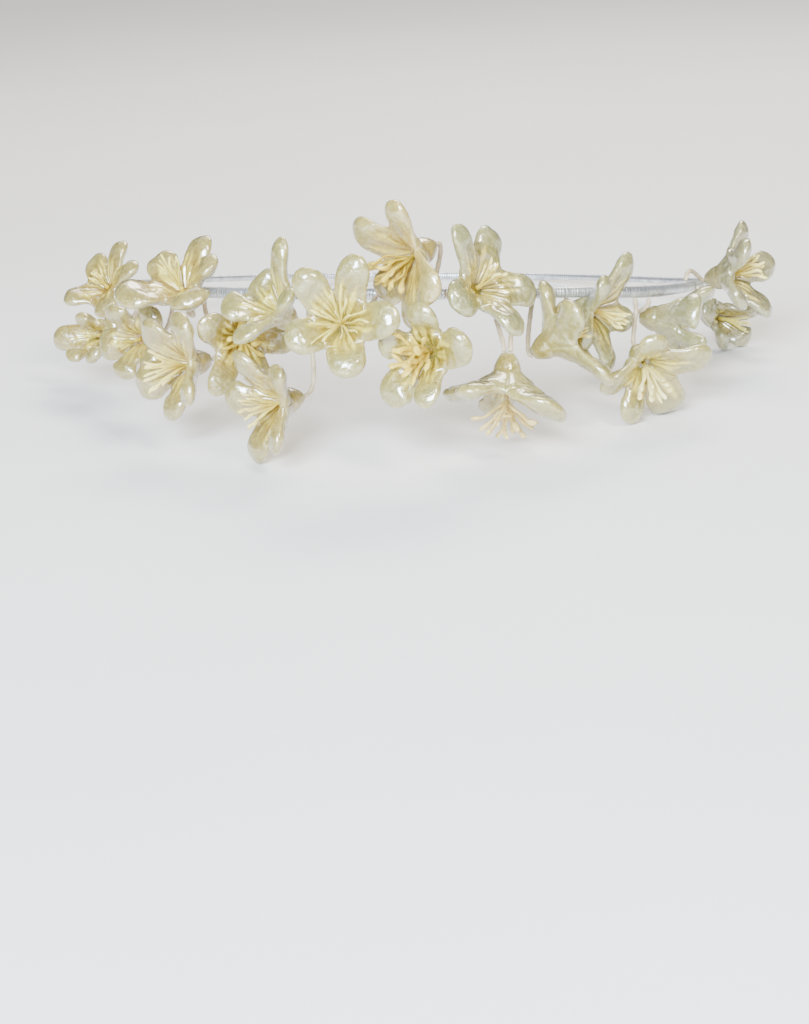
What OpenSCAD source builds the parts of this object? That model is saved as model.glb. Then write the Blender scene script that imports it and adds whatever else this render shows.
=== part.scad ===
// Wax-flower crown: an oval wire circlet wrapped in silver-white thread, with nineteen
// dipped wax blossoms wired on around its front half.
// The crown is drawn as worn, ring level, front towards -Y, and then laid down as it rests
// by itself: on the back of its band and on its lowest petals.

/* [Circlet] */
// Width of the oval, ear to ear, on the middle of the band
ring_width = 156; // [140:1:170]
// Length of the oval, brow to nape, on the middle of the band
ring_length = 188; // [170:1:205]
// Sections around the circlet
ring_sections = 56; // [36:4:96]

/* [Blossoms] */
// Widest part of a full petal
petal_width = 9.4; // [7:0.1:11]
// Thickness of the dipped wax at a petal's root
petal_thick = 2.2; // [1.6:0.1:2.6]
// How much thicker a petal is at its end, as a share
petal_swell = 0.9; // [0:0.05:1]
// How far a petal's sides curl in at its root, as a share of its half width
petal_cup = 0.22; // [0:0.02:0.4]
// Share of that curl that is gone by its tip
petal_flat = 0.7; // [0:0.05:1]
// Width of a petal at its root, as a share of its widest part
petal_neck = 0.36; // [0.2:0.02:0.6]
// Where along a petal it reaches its full width
petal_waist = 0.5; // [0.3:0.02:0.6]
// Where along a petal its round end begins
petal_shoulder = 0.68; // [0.62:0.02:0.8]
// Distance of the petal roots from the axis of the blossom
root_ring = 1.9; // [1.4:0.1:2.4]
// How deep the petal roots are set behind the throat
root_depth = 1.2; // [0.6:0.1:2]
// Share of a petal's opening that it already has at its root
root_lean = 0.6; // [0.3:0.05:0.8]
// Share of its opening that a petal gains from root to tip
tip_lean = 0.6; // [0.2:0.05:0.8]
// Length of the solid bell behind the throat
bell_long = 5.5; // [3:0.5:8]
// Thickness of the bell at the stem
bell_tip = 3.2; // [2.4:0.1:3.6]
// Thickness of the bell at the throat
bell_mouth = 6.6; // [5.4:0.1:7.4]
// Width of the floor of the throat
throat_wide = 2.6; // [2:0.1:3.4]

/* [Stamens and stems] */
// Thickness of the bound foot of a bunch of stamens
trunk_thick = 1.3; // [0.8:0.1:1.6]
// Thickness of one waxed thread stamen
stamen_thick = 0.9; // [0.6:0.05:1.1]
// Thickness of the knob at a stamen's end
knob_thick = 1.3; // [1:0.1:1.6]
// Length of the knob at a stamen's end
knob_long = 2.6; // [1:0.2:3.6]
// Thickness of a wrapped wire stem
stem_thick = 1.3; // [0.8:0.1:1.6]
// Gap left between pieces that touch on the real crown
fit_gap = 0.15; // [0.1:0.05:0.3]

/* [Resting] */
// Tip of the ring plane, front up, when the crown lies on a flat surface
rest_pitch = 11; // [0:0.1:20]
// Tip of the ring plane, left side up, when the crown lies on a flat surface
rest_roll = 2.9; // [-5:0.1:5]
// Height of the ring centre above the surface
rest_height = 19.45; // [0:0.05:40]
// Shift of the ring centre to the right of the crown's middle
rest_right = 2.2; // [-20:0.1:20]
// Shift of the ring centre behind the crown's middle
rest_back = 15.7; // [-30:0.1:30]

/* [Hidden] */
// The wrapped band, from the nape round the left side, the brow and the right side.
// angle (0 is the brow, + is right), height above the ring plane, radius
band_stations = [
    [-180, 0, 1.1],
    [-110, 0, 1.1],
    [-85, 0, 1.3],
    [-60, 0, 1.6],
    [-40, 0, 1.5],
    [-10, 0.5, 1.6],
    [20, 0.5, 1.4],
    [34, 0.5, 1.4],
    [46, 0, 1.8],
    [60, 0.5, 1.5],
    [75, 1, 1.2],
    [110, 0, 1.1],
    [180, 0, 1.1],
];

// One row for each blossom, from the left ear to the right.
// angle on the band, distance out from the band, height above it, heading (0 faces
// forward, + turns right), rise, and five petals: [turn clockwise from the top as seen
// from in front of the blossom, opening from the axis, length, share of the full width,
// twist of its end]
blossoms = [
    [-86, 9, -1, -46, 38, [[9, 70, 13, 0.7, -2], [67, 78, 13, 0.75, -8], [139, 91, 11, 0.85, 0], [223, 64, 12, 0.85, 8], [308, 81, 12, 0.85, -12]]],
    [-76, 11, -13, -39, 0, [[1, 26, 10, 0.75, -10], [75, 65, 12, 0.75, 4], [137, 37, 12, 0.75, -10], [204, 28, 12, 0.7, -2], [264, 73, 14, 0.75, 6]]],
    [-45, 6, 0, -31, 52, [[9, 66, 15, 0.85, -12], [76, 56, 14, 0.9, 4], [130, 75, 14, 1.15, -6], [215, 63, 17, 1.3, -12], [306, 69, 13, 0.95, -10]]],
    [-39, 12, -17, -56, -9, [[31, 77, 15, 1.0, 0], [120, 59, 15, 0.8, 0], [183, 58, 14, 0.85, -10], [249, 59, 16, 1.0, -6], [321, 66, 15, 1.0, -10]]],
    [-62, 5, -13, -38, -5, [[56, 71, 15, 1.0, 4], [121, 62, 14, 0.9, 0], [186, 50, 11, 0.9, -12], [261, 83, 11.5, 0.9, 6], [349, 48, 12, 0.95, -10]]],
    [-34, 2, -11, 14, -8, [[10, 62, 13, 0.8, -6], [83, 62, 14, 0.85, 8], [156, 53, 13, 0.75, 8], [213, 60, 16, 0.7, 6], [296, 57, 14, 0.85, 0]]],
    [-23, 9, -4, -55, 38, [[13, 47, 18, 0.7, 6], [89, 62, 14, 0.75, 6], [165, 63, 15, 0.9, 0], [241, 46, 14, 0.95, -12], [305, 65, 12, 1, -6]]],
    [-22, 11, -25, -58, -10, [[48, 72, 14, 0.75, -12], [137, 56, 15, 0.8, 4], [207, 69, 16, 0.8, -8], [279, 56, 15, 1.0, -4], [344, 59, 16, 0.75, 0]]],
    [-11, 20, -6, -7, 11, [[17, 61, 17, 0.85, -8], [89, 59, 16, 0.95, 4], [167, 63, 14, 0.95, -10], [246, 59, 14, 0.95, 6], [320, 61, 16, 0.85, -4]]],
    [-1, 12, 10, -56, -24, [[26, 76, 17, 0.85, 4], [116, 64, 17, 1.1, -40], [174, 63, 17, 0.95, -8], [233, 68, 15, 0.95, -10], [312, 70, 16, 0.95, 6]]],
    [8, 11, 2, 46, 26, [[28, 79, 15, 0.85, 6], [103, 78, 15, 0.9, 8], [179, 64, 16, 0.85, -6], [249, 82, 13, 1, -2], [321, 63, 17, 0.7, -10]]],
    [1, 19, -12, -29, -7, [[6, 61, 13, 0.85, 4], [78, 70, 13, 1, 10], [163, 47, 15, 0.75, -10], [218, 68, 15, 0.95, 6], [291, 49, 12, 0.85, -12]]],
    [13, 10, -18.5, -6, -82, [[52, 62, 19, 1.35, -30], [129, 58, 15, 0.9, -6], [200, 58, 15, 0.9, 2], [262, 76, 15, 0.85, 8], [318, 76, 15, 0.9, 4]]],
    [21, 8, -11, 86, 32, [[2, 68, 14, 0.9, 0], [72, 62, 14, 0.95, 12], [141, 68, 13, 0.85, -2], [208, 69, 18, 0.8, 2], [292, 49, 15, 0.95, 6]]],
    [31, 2, -4, 58, -9, [[26, 77, 16, 0.8, 2], [101, 67, 13, 0.7, -2], [171, 69, 15, 0.7, -4], [238, 73, 13, 0.75, -6], [312, 62, 14, 0.75, 12]]],
    [40, 7, -17, 26, -40, [[59, 72, 16, 0.9, -8], [136, 75, 16, 1.05, 10], [204, 48, 15, 0.8, 12], [268, 65, 16, 0.85, -6], [344, 75, 12, 0.85, -10]]],
    [49, 2, -7, 83, -7, [[18, 35, 16, 0.85, 6], [90, 62, 14, 0.95, -4], [160, 58, 14, 0.95, 4], [228, 35, 16, 1.05, 2], [290, 48, 14, 1.2, -2]]],
    [73, 7, 3, 65, 14, [[20, 64, 15, 0.75, 10], [86, 45, 16, 0.9, 2], [157, 59, 16, 0.9, -4], [226, 68, 13, 0.9, 6], [306, 42, 15, 0.9, -10]]],
    [84, 5, -9, 53, -11, [[0, 20, 16, 0.8, -10], [64, 62, 14, 0.8, 4], [127, 43, 11, 0.8, 0], [221, 47, 10, 0.8, -8], [286, 84, 12, 0.8, 12]]],
];

// One row for each blossom: the bunch of stamens in its throat.
// turn and tilt of the bunch from the axis, half angle of its fan, length of a stamen,
// length of the bound foot, number of stamens
bunches = [
    [0, 0, 35, 5.5, 1.5, 8],
    [0, 0, 18, 5, 1.5, 7],
    [0, 0, 22, 10, 1.5, 7],
    [0, 0, 38, 11.5, 1.5, 12],
    [0, 0, 20, 7, 2, 7],
    [0, 0, 58, 8, 1.5, 9],
    [0, 0, 12, 4, 1.5, 6],
    [270, 5, 34, 10, 1.5, 12],
    [0, 0, 54, 10.5, 1.5, 16],
    [225, 10, 38, 11, 1.5, 12],
    [330, 12, 26, 8, 1.5, 7],
    [255, 10, 46, 10, 1.5, 14],
    [0, 0, 70, 10, 6.5, 14],
    [180, 25, 14, 8, 2, 5],
    [150, 10, 22, 8, 2, 8],
    [240, 8, 32, 10.5, 1.5, 10],
    [0, 0, 12, 5, 2, 5],
    [0, 0, 26, 10, 1.5, 9],
    [0, 0, 20, 8, 2, 7],
];

// One row for each wire stem, from the back of a bell to the band.
// blossom, distance to the right of the bell's middle, angle on the band where it is bound,
// side of the band it comes from (0 is outside, -90 is below), how far it keeps its first
// and its last direction
stems = [
    [1, 0, -82, -20, 3, 1.5],
    [2, 0, -68, -60, 4, 4],
    [3, 0, -50, -80, 4, 4],
    [4, 0, -44, -80, 6, 6],
    [5, 0, -54, -80, 5, 5],
    [6, 0, -36, -80, 4, 4],
    [7, 0, -24.5, -60, 2.5, 3],
    [8, 0, -20.5, -80, 6, 9],
    [9, 0, -8, -20, 5, 4],
    [10, 0, 2, 60, 4, 4],
    [11, 0, 4, 0, 3, 2],
    [12, 0, 0, -80, 4, 4],
    [13, 0.75, 15.5, -80, 3, 6],
    [14, 0, 20, -110, 2, 7],
    [15, 0, 27, -120, 2, 3],
    [16, 0, 42, -60, 3, 4],
    [17, 0, 46, -60, 3.6, 3.4],
    [18, 0, 62, 85, 1.3, 6],
    [19, 0, 66, -20, 3, 4],
    [13, -0.75, 12.5, -80, 3, 6],
];

// Columns of the tables above
ANGLE = 0; OUT = 1; UP = 2; HEADING = 3; RISE = 4; PETALS = 5;
TURN = 0; OPENING = 1; LONG = 2; WIDE = 3; TWIST = 4;
TILT = 1; FAN = 2; THREAD = 3; FOOT = 4; COUNT = 5;
BLOSSOM = 0; BESIDE = 1; BOUND = 2; SIDE = 3; LEAVE = 4; ARRIVE = 5;

petal_count = 5;
// Shares of a petal's length: a ring of the fused funnel, the notches between the petals,
// and the sections of the free part
funnel = 0.2;
notch = 0.45;
free_sections = [notch, 0.62, 0.8, 0.94];
// Petals further apart than twice this have all the room they want
wide_gap = 60;
room_share = 0.95;
// Thickness of the web in the seams, as a share of the petals'
web_share = 0.7;
band_sides = 8;
stem_sides = 6;
stem_sections = 5;
stamen_sides = 5;
// How far a stamen's foot is sunk into the bound foot of its bunch
sunk = 0.6;
// Angle between one stamen and the next round a bunch
golden_angle = 137.5;
degrees_per_radian = 180 / PI;

function band_column(angle, column) =
    lookup(angle, [for (station = band_stations) [station[0], station[column]]]);
function band_radius(angle) = band_column(angle, 2);
function outward(angle) = [sin(angle), -cos(angle), 0];
function on_oval(angle, out) =
    [(ring_width / 2 + out) * sin(angle), -(ring_length / 2 + out) * cos(angle), 0];
function band_middle(angle) = on_oval(angle, 0) + [0, 0, band_column(angle, 1)];
function band_skin(angle, side, above) =
    band_middle(angle)
    + (band_radius(angle) + above) * (cos(side) * outward(angle) + [0, 0, sin(side)]);

function throat(row) = on_oval(row[ANGLE], row[OUT]) + [0, 0, row[UP]];
function facing(row) =
    [cos(row[RISE]) * sin(row[HEADING]), -cos(row[RISE]) * cos(row[HEADING]), sin(row[RISE])];
function right_hand(row) = [cos(row[HEADING]), sin(row[HEADING]), 0];
function spoke(row, turn) = cos(turn) * cross(facing(row), right_hand(row)) + sin(turn) * right_hand(row);

// A petal is an arc that leans away from the axis, with a spoon's outline and cup
function round_end(t) =
    t < petal_shoulder ? 1 : sqrt(1 - pow((t - petal_shoulder) / (1 - petal_shoulder), 2));
function spoon(t) =
    t < petal_waist ? petal_neck + (1 - petal_neck) * sin(90 * t / petal_waist) : round_end(t);
function thickness(petal, t) = petal_thick * sqrt(petal[WIDE]) * (1 + petal_swell * t);
function curl(t) = petal_cup * (1 - petal_flat * t);
function twist(petal, t) = petal[TWIST] * max(t - notch, 0) / (1 - notch);
function lean(petal, t) = petal[OPENING] * (root_lean + tip_lean * t);
function arc_radius(petal) = petal[LONG] * degrees_per_radian / (petal[OPENING] * tip_lean);
function along_axis(petal, t) =
    arc_radius(petal) * (sin(lean(petal, t)) - sin(lean(petal, 0))) - root_depth;
function off_axis(petal, t) =
    arc_radius(petal) * (cos(lean(petal, 0)) - cos(lean(petal, t))) + root_ring;

function petal_of(row, k) = row[PETALS][(k + petal_count) % petal_count];
function gap_between(row, k) = (petal_of(row, k + 1)[TURN] - petal_of(row, k)[TURN] + 360) % 360;
function spine(row, petal, t) =
    throat(row) + along_axis(petal, t) * facing(row) + off_axis(petal, t) * spoke(row, petal[TURN]);
function across(row, petal) = cross(facing(row), spoke(row, petal[TURN]));
function inside(row, petal, t) =
    sin(lean(petal, t)) * facing(row) - cos(lean(petal, t)) * spoke(row, petal[TURN]);
// A petal's side keeps to its half of the gap to the next petal
function room(row, k, t, after) =
    let (gap = gap_between(row, after ? k : k - 1), petal = petal_of(row, k))
    gap > 2 * wide_gap ? petal_width
        : max(off_axis(petal, t) - thickness(petal, t) / 2, 1) * tan(gap / 2) * room_share;
function half_width(row, k, t, after) =
    min(petal_width / 2 * petal_of(row, k)[WIDE] * spoon(t), room(row, k, t, after));
// Point of a petal's section at t, a degrees round it: 0 is its side towards the petal
// before, 90 its inner face, 180 its side towards the petal after
function petal_point(row, k, t, a) =
    let (
        petal = petal_of(row, k),
        half = half_width(row, k, t, a > 90 && a < 270),
        inward = thickness(petal, t) / 2 * round_end(t) * sin(a) + curl(t) * half * pow(cos(a), 2),
        w = twist(petal, t)
    )
    spine(row, petal, t)
    + (half * cos(a) * cos(w) - inward * sin(w)) * across(row, petal)
    + (half * cos(a) * sin(w) + inward * cos(w)) * inside(row, petal, t);
// Where petal k and the next one are fused, and the skins of the web that joins them
function seam(row, k, t) = (petal_point(row, k, t, 180) + petal_point(row, k + 1, t, 0)) / 2;
function seam_skin(row, k, t, face) =
    seam(row, k, t) + face * web_share * petal_thick / 2
        * (inside(row, petal_of(row, k), t) + inside(row, petal_of(row, k + 1), t)) / 2;

// Rings of the fused part: four columns a petal, from its seam with the petal before
function open_ring(row, t, face) = [for (k = [0 : petal_count])
    each concat([seam_skin(row, k - 1, t, face)],
        k < petal_count ? [for (a = [45, 90, 135]) petal_point(row, k, t, face > 0 ? a : 360 - a)] : [])];
function notch_ring(row, face) = [for (k = [0 : petal_count])
    each concat([seam(row, k - 1, notch)],
        k < petal_count ? [for (a = [45, 90, 135]) petal_point(row, k, notch, face > 0 ? a : 360 - a)] : [])];
function round_ring(row, along, radius) = [for (k = [0 : petal_count])
    let (turn = petal_of(row, k)[TURN], before = gap_between(row, k - 1), after = gap_between(row, k))
    each [for (step = k < petal_count ? [-before / 2, -before / 4, 0, after / 4] : [-before / 2])
        throat(row) + along * facing(row) + radius * spoke(row, turn + step)]];
// Ring round the free part of a petal
function petal_ring(row, k, t) =
    t == notch
        ? concat([seam(row, k - 1, t)], [for (a = [45, 90, 135]) petal_point(row, k, t, a)],
            [seam(row, k, t)], [for (a = [225, 270, 315]) petal_point(row, k, t, a)],
            [seam(row, k - 1, t)])
        : [for (a = [0 : 45 : 360]) petal_point(row, k, t, a % 360)];

// Triangles of a grid of points, and of a fan from a ring to a point
function grid(rows) = [for (i = [0 : len(rows) - 2], k = [0 : len(rows[0]) - 2]) each [
    [rows[i][k], rows[i + 1][k], rows[i + 1][k + 1]],
    [rows[i][k], rows[i + 1][k + 1], rows[i][k + 1]]]];
function fan(ring, point) = [for (k = [0 : len(ring) - 2]) [ring[k], point, ring[k + 1]]];
module closed_surface(triangles)
    polyhedron([for (triangle = triangles) each triangle],
        [for (i = [0 : len(triangles) - 1]) [3 * i, 3 * i + 1, 3 * i + 2]], convexity = 6);

// The crown as it lies: pitched and rolled, on the back of the band and its lowest petals
module laid_down()
    translate([rest_right, rest_back, rest_height]) rotate([-rest_pitch, rest_roll, 0]) children();

// Wire circlet under its winding of thread, thicker where stems are bound in
module band() color("silver") laid_down()
    closed_surface(grid([for (i = [0 : ring_sections])
        let (angle = i < ring_sections ? -180 + 360 * i / ring_sections : -180)
        [for (k = [band_sides : -1 : 0]) band_skin(angle, 360 * (k % band_sides) / band_sides, 0)]]));

// Five dipped petals fused to a bell: outer skin from the stem to the notches, inner skin
// from the notches to the throat, and the free end of each petal
module corolla(i) color("ivory") laid_down() {
    row = blossoms[i];
    foot = round_ring(row, -bell_long, bell_tip / 2);
    floor_ring = round_ring(row, 0, throat_wide / 2);
    closed_surface(concat(
        fan([for (k = [len(floor_ring) - 1 : -1 : 0]) floor_ring[k]], throat(row)),
        grid([floor_ring, open_ring(row, funnel, 1), notch_ring(row, 1)]),
        grid([notch_ring(row, -1), open_ring(row, funnel, -1),
            round_ring(row, -root_depth, bell_mouth / 2), foot]),
        fan(foot, throat(row) - bell_long * facing(row)),
        [for (k = [0 : petal_count - 1]) each concat(
            grid([for (t = free_sections) petal_ring(row, k, t)]),
            fan(petal_ring(row, k, free_sections[len(free_sections) - 1]),
                spine(row, petal_of(row, k), 1)))]
    ));
}

// Straight prism of a waxed thread from one point to another
module thread(from, to, thick) {
    way = to - from;
    translate(from) rotate([0, acos(way[2] / norm(way)), atan2(way[1], way[0])])
        cylinder(h = norm(way), d = thick, $fn = stamen_sides);
}

// Bunch of stamens, bound at its foot, each with a thicker knob
module stamens(i) color("khaki") laid_down() {
    row = blossoms[i];
    bunch = bunches[i];
    axis = cos(bunch[TILT]) * facing(row) + sin(bunch[TILT]) * spoke(row, bunch[TURN]);
    across = cos(bunch[TILT]) * spoke(row, bunch[TURN]) - sin(bunch[TILT]) * facing(row);
    along = cross(axis, across);
    root = throat(row) + fit_gap * facing(row);
    fork = root + bunch[FOOT] * facing(row);
    thread(root, fork, trunk_thick);
    for (k = [0 : bunch[COUNT] - 1]) {
        fan = bunch[FAN] * sqrt((k + 0.5) / bunch[COUNT]);
        way = cos(fan) * axis + sin(fan) * (cos(k * golden_angle) * across + sin(k * golden_angle) * along);
        thread(fork - sunk * facing(row), fork + bunch[THREAD] * way, stamen_thick);
        thread(fork + (bunch[THREAD] - knob_long) * way, fork + bunch[THREAD] * way, knob_thick);
    }
}

// Wrapped wire stem from the back of a bell to the band
function bezier(p, t) =
    pow(1 - t, 3) * p[0] + 3 * t * pow(1 - t, 2) * p[1] + 3 * t * t * (1 - t) * p[2] + pow(t, 3) * p[3];
function bezier_way(p, t) =
    pow(1 - t, 2) * (p[1] - p[0]) + 2 * t * (1 - t) * (p[2] - p[1]) + t * t * (p[3] - p[2]);
function unit(v) = v / norm(v);
function stem_path(stem) =
    let (
        row = blossoms[stem[BLOSSOM] - 1],
        bell_end = throat(row) - (bell_long + fit_gap) * facing(row) + stem[BESIDE] * right_hand(row),
        bound = band_skin(stem[BOUND], stem[SIDE], fit_gap)
    )
    [bell_end, bell_end - stem[LEAVE] * facing(row),
        band_skin(stem[BOUND], stem[SIDE], fit_gap + stem[ARRIVE]), bound];

function stem_ring(path, plumb, t) =
    let (
        way = unit(bezier_way(path, t)),
        side = unit(cross(way, plumb)),
        other = cross(way, side)
    )
    [for (k = [0 : stem_sides]) let (a = 360 * (k % stem_sides) / stem_sides)
        bezier(path, t) + stem_thick / 2 * (cos(a) * side + sin(a) * other)];

module stem(i) color("linen") laid_down() {
    path = stem_path(stems[i]);
    // A direction that the stem never runs along
    plumb = unit(cross(path[0] - path[3], outward(stems[i][BOUND])));
    rings = [for (j = [0 : stem_sections - 1]) stem_ring(path, plumb, j / (stem_sections - 1))];
    closed_surface(concat(
        fan([for (k = [stem_sides : -1 : 0]) rings[0][k]], path[0]),
        grid(rings),
        fan(rings[stem_sections - 1], path[3])
    ));
}

function numbered(kind, i) = str(kind, "_", i < 9 ? "0" : "", i + 1);
blossom_numbers = [0 : len(blossoms) - 1];
stem_numbers = [0 : len(stems) - 1];

band();
for (i = blossom_numbers) corolla(i);
for (i = blossom_numbers) stamens(i);
for (i = stem_numbers) stem(i);
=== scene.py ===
"""A crown of dipped wax blossoms on a thread-wrapped wire circlet, lying on a pale table.

It is put together here as it was made: the circlet, the blossoms, their stamens, the wire
stems that bind them on, and last the table, the light and the camera. Shapes are worked out
in millimetres on the worn crown, ring level and front towards -Y, and laid down in metres.
"""

import bpy
import numpy as np
from mathutils import Matrix, Vector


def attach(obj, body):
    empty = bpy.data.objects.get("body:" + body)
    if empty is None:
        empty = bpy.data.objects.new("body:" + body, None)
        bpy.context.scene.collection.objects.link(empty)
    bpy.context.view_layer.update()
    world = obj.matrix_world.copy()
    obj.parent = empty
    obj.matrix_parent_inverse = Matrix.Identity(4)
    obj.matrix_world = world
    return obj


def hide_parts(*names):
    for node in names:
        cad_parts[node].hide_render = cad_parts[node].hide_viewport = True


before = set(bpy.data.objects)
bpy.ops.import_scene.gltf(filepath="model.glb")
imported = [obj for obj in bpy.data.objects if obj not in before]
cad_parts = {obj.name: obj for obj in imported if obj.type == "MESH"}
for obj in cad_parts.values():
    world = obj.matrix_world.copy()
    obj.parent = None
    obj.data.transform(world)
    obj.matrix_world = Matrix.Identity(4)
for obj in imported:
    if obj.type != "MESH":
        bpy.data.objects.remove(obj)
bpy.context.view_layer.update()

# The circlet
# An oval of wire, ear to ear and brow to nape, wound from end to end with one flat
# silver-white metal thread. The winding is thicker where stems are bound in at the front
# and thin round the back.
ring_width, ring_length = 156.0, 188.0
# how the worn crown is turned and moved to lie on the table
rest_pitch, rest_roll = np.radians(-11), np.radians(2.9)
rest_place = np.array([2.2, 15.7, 19.45])
# angle (0 is the brow, + is right), height above the ring plane, radius
band_stations = np.array([
    [-180, 0, 1.1], [-110, 0, 1.1], [-85, 0, 1.3], [-60, 0, 1.6], [-40, 0, 1.5],
    [-10, 0.5, 1.6], [20, 0.5, 1.4], [34, 0.5, 1.4], [46, 0, 1.8], [60, 0.5, 1.5],
    [75, 1, 1.2], [110, 0, 1.1], [180, 0, 1.1]])
thread_turns, samples_a_turn, band_sides, groove_depth = 640, 7, 14, 0.17


def cosd(a):
    return np.cos(np.radians(a))


def sind(a):
    return np.sin(np.radians(a))


def lying(points):
    """Where a point of the worn crown lies: turned about X by the pitch, then about Y by the
    roll, then moved to its resting place; millimetres become metres."""
    pitch = np.array([[1, 0, 0], [0, np.cos(rest_pitch), -np.sin(rest_pitch)],
                      [0, np.sin(rest_pitch), np.cos(rest_pitch)]])
    roll = np.array([[np.cos(rest_roll), 0, np.sin(rest_roll)], [0, 1, 0],
                     [-np.sin(rest_roll), 0, np.cos(rest_roll)]])
    return (points @ (roll @ pitch).T + rest_place) / 1000


def grid_triangles(rows, columns, first=0):
    """Two triangles for each cell of a grid numbered row by row."""
    i, k = np.meshgrid(np.arange(rows - 1), np.arange(columns - 1), indexing="ij")
    a = (first + i * columns + k).ravel()
    b, c, d = a + columns, a + columns + 1, a + 1
    return np.concatenate([np.stack([a, c, b], 1), np.stack([a, d, c], 1)])


def closed_mesh(name, grids, finish, notes=None):
    """One mesh of several grids of points: points that coincide are merged, cells that fold to
    a line at a pole or a seam are dropped, nothing reaches below the table, and each note is
    kept as a value on the points."""
    points = np.concatenate([g.reshape(-1, 3) for g in grids])
    starts = np.cumsum([0] + [g.shape[0] * g.shape[1] for g in grids[:-1]])
    triangles = np.concatenate([grid_triangles(g.shape[0], g.shape[1], s)
                                for g, s in zip(grids, starts)])
    _, kept, where = np.unique(np.round(points, 4), axis=0, return_index=True,
                               return_inverse=True)
    triangles = where.reshape(-1)[triangles]
    a, b, c = triangles.T
    triangles = triangles[(a != b) & (b != c) & (c != a)]
    mesh = bpy.data.meshes.new(name)
    points = lying(points[kept])
    points[:, 2] = np.maximum(points[:, 2], 0)
    mesh.from_pydata(points.tolist(), [], triangles.tolist())
    mesh.polygons.foreach_set("use_smooth", np.ones(len(triangles), bool))
    for note, values in (notes or {}).items():
        flat = np.concatenate([v.reshape(-1) for v in values])[kept]
        layer = mesh.attributes.new(note, "FLOAT", "POINT")
        layer.data.foreach_set("value", flat.astype(np.float32))
    mesh.materials.append(finish)
    piece = bpy.data.objects.new(name, mesh)
    bpy.context.scene.collection.objects.link(piece)
    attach(piece, "root")
    return piece


def colour(red, green, blue):
    """A colour given as it looks on a screen, 0 to 255, as the shader takes it."""
    c = np.array([red, green, blue]) / 255
    c = np.where(c <= 0.04045, c / 12.92, ((c + 0.055) / 1.055) ** 2.4)
    return (*map(float, c), 1.0)


def new_finish(name):
    """A material, its node tree and its shader."""
    material = bpy.data.materials.new(name)
    material.use_nodes = True
    return material, material.node_tree, material.node_tree.nodes["Principled BSDF"]


def mottle(tree, scale, detail=3.0, rough=0.55):
    """A noise over the piece's own coordinates, scale in lumps a metre."""
    place = tree.nodes.new("ShaderNodeTexCoord")
    noise = tree.nodes.new("ShaderNodeTexNoise")
    noise.inputs["Scale"].default_value = scale
    noise.inputs["Detail"].default_value = detail
    noise.inputs["Roughness"].default_value = rough
    tree.links.new(place.outputs["Object"], noise.inputs["Vector"])
    return noise.outputs["Fac"]


def ramp(tree, value, *stops):
    """A colour ramp over a value; each stop is a place and a colour."""
    node = tree.nodes.new("ShaderNodeValToRGB")
    tree.links.new(value, node.inputs["Fac"])
    while len(node.color_ramp.elements) < len(stops):
        node.color_ramp.elements.new(0.5)
    for element, (place, shade) in zip(node.color_ramp.elements, stops):
        element.position = place
        element.color = shade
    return node.outputs["Color"]


def spread(tree, value, low, high, to_low, to_high):
    """A value between low and high, moved to lie between to_low and to_high."""
    node = tree.nodes.new("ShaderNodeMapRange")
    tree.links.new(value, node.inputs["Value"])
    for socket, number in zip(("From Min", "From Max", "To Min", "To Max"),
                              (low, high, to_low, to_high)):
        node.inputs[socket].default_value = number
    return node.outputs["Result"]


def mixed(tree, share, under, over, how="MIX"):
    """One colour laid over another by a share; any of the three is a value or a socket."""
    node = tree.nodes.new("ShaderNodeMix")
    node.data_type = "RGBA"
    node.blend_type = how
    for socket, value in ((node.inputs["Factor"], share), (node.inputs[6], under),
                          (node.inputs[7], over)):
        if isinstance(value, (int, float, tuple)):
            socket.default_value = value
        else:
            tree.links.new(value, socket)
    return node.outputs[2]


def raised(tree, height, distance, strength=1.0, under=None):
    """Relief from a height, distance in metres."""
    node = tree.nodes.new("ShaderNodeBump")
    node.inputs["Distance"].default_value = distance
    node.inputs["Strength"].default_value = strength
    tree.links.new(height, node.inputs["Height"])
    if under is not None:
        tree.links.new(under, node.inputs["Normal"])
    return node.outputs["Normal"]


def silver_thread():
    """Flat metal thread: bright silver-white, worn greyer and rougher in patches, with a fine
    grain of fibres under the foil, and painted shade darkening the grooves between its turns."""
    material, tree, shader = new_finish("silver_thread")
    patches = mottle(tree, 300)
    fibres = mottle(tree, 4000, 2.0)
    groove = tree.nodes.new("ShaderNodeAttribute")
    groove.attribute_name = "groove"
    worn = ramp(tree, patches, (0.3, colour(190, 194, 201)), (0.7, colour(246, 248, 252)))
    # painted shade: the grooves between the turns of the thread are turned dark grey
    dark = spread(tree, groove.outputs["Fac"], 0.15, 0.9, 0.95, 0.0)
    tree.links.new(mixed(tree, dark, worn, colour(72, 70, 66)), shader.inputs["Base Color"])
    shader.inputs["Metallic"].default_value = 0.8
    tree.links.new(spread(tree, patches, 0.3, 0.7, 0.42, 0.26), shader.inputs["Roughness"])
    tree.links.new(raised(tree, fibres, 0.0001, 0.5), shader.inputs["Normal"])
    return material


def band_column(angle, column):
    """A column of the stations carried round the oval, eased between one station and the next."""
    smooth = np.interp(angle, band_stations[:, 0], band_stations[:, column])
    for shift in (-6, -3, 3, 6):
        near = (angle + shift + 180) % 360 - 180
        smooth = smooth + np.interp(near, band_stations[:, 0], band_stations[:, column])
    return smooth / 5


def on_oval(angle, out):
    """A point out from the oval: the half axes, each longer by out, times sine and cosine."""
    angle, out = np.broadcast_arrays(np.asarray(angle, float), np.asarray(out, float))
    return np.stack([(ring_width / 2 + out) * sind(angle),
                     -(ring_length / 2 + out) * cosd(angle), 0 * angle], -1)


def outward(angle):
    """The direction straight out from the head at an angle."""
    angle = np.asarray(angle, float)
    return np.stack([sind(angle), -cosd(angle), 0 * angle], -1)


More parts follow.
